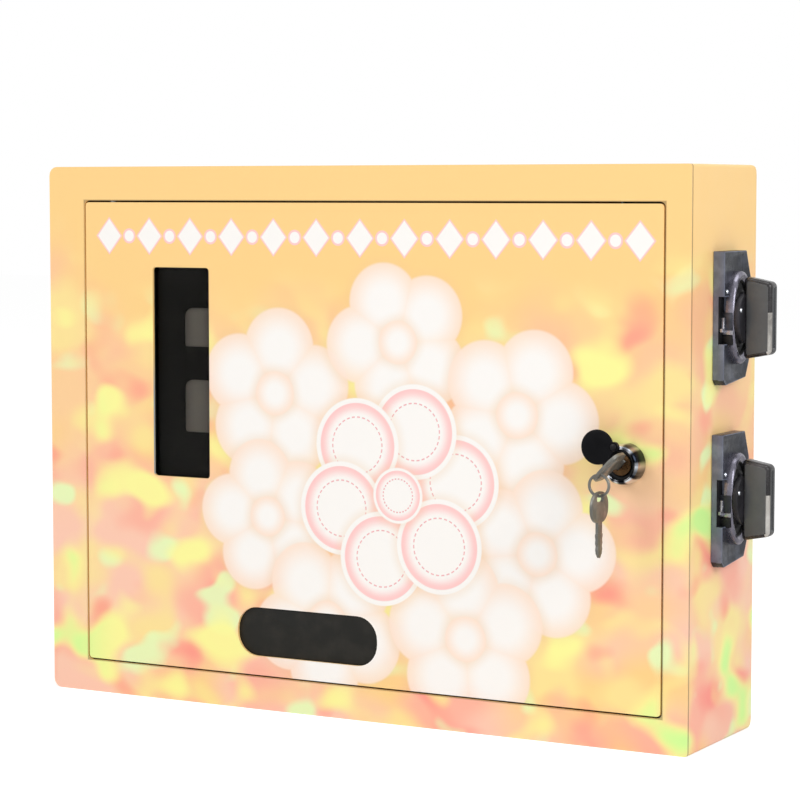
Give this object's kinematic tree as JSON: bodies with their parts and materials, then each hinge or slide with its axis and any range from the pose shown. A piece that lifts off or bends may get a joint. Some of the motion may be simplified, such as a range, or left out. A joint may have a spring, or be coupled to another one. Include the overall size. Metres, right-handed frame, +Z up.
{
  "type": "mini vending machine",
  "caption": "Slim wall-hung or counter-standing packet dispenser with a keyed door, outlet slot and two hand-turned side coin mechanisms.",
  "frame": {"origin": "middle of the flat bottom face", "axes": "+Z up, front towards -Y, the coin mechanisms on the +X side"},
  "size_m": [0.4226, 0.1229, 0.3],
  "materials": {
    "paint": "semi-matte peach enamel with a soft printed pattern",
    "plated_steel": "zinc plated",
    "coil_wire": "bright drawn wire",
    "dark_casting": "dark gunmetal die casting, satin",
    "lock_chrome": "polished",
    "brass": "dull brass",
    "key_steel": "nickel, handled",
    "black_plastic": "satin",
    "smoked_acrylic": "smoked, clear",
    "foam_tape": "closed-cell foam",
    "packet_wrap": "soft pad in a thin film wrap"
  },
  "bodies": {
    "cabinet": {"cabinet_shell": "paint", "front_frame": "paint", "hinge_bracket_upper": "plated_steel", "hinge_bracket_lower": "plated_steel", "strike_strip": "plated_steel", "mech_partition": "plated_steel", "tray_upper": "plated_steel", "tray_lower": "plated_steel", "drop_chute": "plated_steel", "coin_box": "plated_steel", "mech_plate_upper": "dark_casting", "mech_housing_upper": "dark_casting", "mech_screw_upper_top": "plated_steel", "mech_screw_upper_bottom": "plated_steel", "shaft_bush_upper": "brass", "mech_plate_lower": "dark_casting", "mech_housing_lower": "dark_casting", "mech_screw_lower_top": "plated_steel", "mech_screw_lower_bottom": "plated_steel", "shaft_bush_lower": "brass"},
    "door": {"door_panel": "paint", "window_gasket": "foam_tape", "window_pane": "smoked_acrylic", "window_mask": "black_plastic", "flap_rod": "plated_steel", "lock_body": "lock_chrome", "lock_nut": "plated_steel"},
    "flap": {"outlet_flap": "black_plastic"},
    "lock_core": {"lock_plug": "brass", "lock_key": "key_steel", "lock_cam": "plated_steel", "cam_screw": "plated_steel"},
    "dust_cover": {"dust_cover": "black_plastic"},
    "key_ring": {"key_ring": "key_steel"},
    "spare_key": {"spare_key": "key_steel"},
    "drive_upper": {"knob_upper": "dark_casting", "knob_shaft_upper": "plated_steel", "coin_wheel_upper": "plated_steel", "coil_hub_upper": "plated_steel", "vend_coil_upper": "coil_wire"},
    "pawl_upper": {"pawl_upper": "plated_steel"},
    "packet_upper": {"packet_upper": "packet_wrap"},
    "drive_lower": {"knob_lower": "dark_casting", "knob_shaft_lower": "plated_steel", "coin_wheel_lower": "plated_steel", "coil_hub_lower": "plated_steel", "vend_coil_lower": "coil_wire"},
    "pawl_lower": {"pawl_lower": "plated_steel"},
    "packet_lower": {"packet_lower": "packet_wrap"}
  },
  "joints": [
    {"name": "door_hinge", "type": "hinge", "parent": "cabinet", "child": "door", "pos_m": [-0.1568, -0.0385, 0.15], "axis": [0, 0, -1], "range_deg": [0, 110]},
    {"name": "flap_hinge", "type": "hinge", "parent": "door", "child": "flap", "pos_m": [0, -0.0395, 0.061], "axis": [1, 0, 0], "range_deg": [0, 55]},
    {"name": "lock_turn", "type": "hinge", "parent": "door", "child": "lock_core", "pos_m": [0.1637, -0.0435, 0.1482], "axis": [0, -1, 0], "range_deg": [0, 90]},
    {"name": "ring_hang", "type": "hinge", "parent": "lock_core", "child": "key_ring", "pos_m": [0.16026, -0.0697, 0.14457], "axis": [0, -1, 0], "range_deg": [-90, 0]},
    {"name": "spare_key_swing", "type": "hinge", "parent": "key_ring", "child": "spare_key", "pos_m": [0.16026, -0.0697, 0.13377], "axis": [1, 0, 0], "range_deg": [-20, 20]},
    {"name": "dust_cover_swing", "type": "hinge", "parent": "door", "child": "dust_cover", "pos_m": [0.16151, -0.0535, 0.15734], "axis": [0, -1, 0], "range_deg": [-60, 20]},
    {"name": "knob_turn_upper", "type": "hinge", "parent": "cabinet", "child": "drive_upper", "pos_m": [0.198, 0.003, 0.2215], "axis": [-1, 0, 0], "range_deg": [0, 360]},
    {"name": "packet_feed_upper", "type": "slide", "parent": "cabinet", "child": "packet_upper", "axis": [-1, 0, 0], "range_m": [0, 0.028]},
    {"name": "pawl_lift_upper", "type": "hinge", "parent": "cabinet", "child": "pawl_upper", "pos_m": [0.1828, -0.0095, 0.24], "axis": [1, 0, 0], "range_deg": [0, 12], "stiffness_Nm_per_rad": 0.02},
    {"name": "knob_turn_lower", "type": "hinge", "parent": "cabinet", "child": "drive_lower", "pos_m": [0.198, 0.003, 0.1277], "axis": [-1, 0, 0], "range_deg": [0, 360]},
    {"name": "packet_feed_lower", "type": "slide", "parent": "cabinet", "child": "packet_lower", "axis": [-1, 0, 0], "range_m": [0, 0.028]},
    {"name": "pawl_lift_lower", "type": "hinge", "parent": "cabinet", "child": "pawl_lower", "pos_m": [0.1828, -0.0095, 0.1462], "axis": [1, 0, 0], "range_deg": [0, 12], "stiffness_Nm_per_rad": 0.02}
  ],
  "couplings": [
    {"joint": "ring_hang", "follows": "lock_turn", "ratio": -1},
    {"joint": "packet_feed_upper", "follows": "knob_turn_upper", "m_per_rad": 0.004456},
    {"joint": "packet_feed_lower", "follows": "knob_turn_lower", "m_per_rad": 0.004456}
  ]
}
